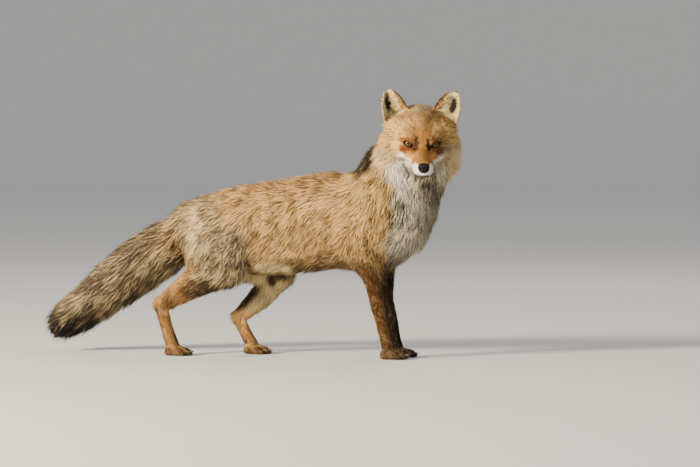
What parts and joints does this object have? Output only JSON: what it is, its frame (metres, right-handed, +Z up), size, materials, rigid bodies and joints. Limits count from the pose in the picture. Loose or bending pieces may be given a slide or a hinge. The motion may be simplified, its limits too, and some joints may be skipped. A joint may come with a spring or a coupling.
{
  "type": "red fox",
  "caption": "Life-size red fox in winter coat, standing on all four paws, its head turned to its right and its brush hanging behind.",
  "frame": {"origin": "on the floor, below the middle of the whole fox", "axes": "+X the way the trunk points, from tail to chest; +Y to the fox's left; +Z up"},
  "size_m": [0.88, 0.2268, 0.5358],
  "materials": {
    "fur_tan": "long matt guard hairs, ochre with brown streaks",
    "fur_grey": "long matt hairs, grizzled grey and buff",
    "fur_dark": "short dark hairs",
    "fur_pale": "long soft cream hairs",
    "eye": "polished amber glass eye",
    "nose": "moist black nose leather"
  },
  "bodies": {
    "root": {"abdomen": "fur_tan", "chest": "fur_tan", "ear_left": "fur_tan", "ear_right": "fur_tan", "eye_left": "eye", "eye_right": "eye", "forearm_left": "fur_dark", "forearm_right": "fur_dark", "forepaw_left": "fur_dark", "forepaw_right": "fur_dark", "head": "fur_tan", "hindfoot_left": "fur_dark", "hindfoot_right": "fur_dark", "hindpaw_left": "fur_dark", "hindpaw_right": "fur_dark", "hindquarters": "fur_grey", "lower_jaw": "fur_pale", "neck": "fur_pale", "nose": "nose", "shank_left": "fur_grey", "shank_right": "fur_grey", "tail_middle": "fur_grey", "tail_root": "fur_grey", "tail_tip": "fur_pale", "thigh_left": "fur_grey", "thigh_right": "fur_grey", "upper_foreleg_left": "fur_tan", "upper_foreleg_right": "fur_tan"}
  },
  "joints": []
}
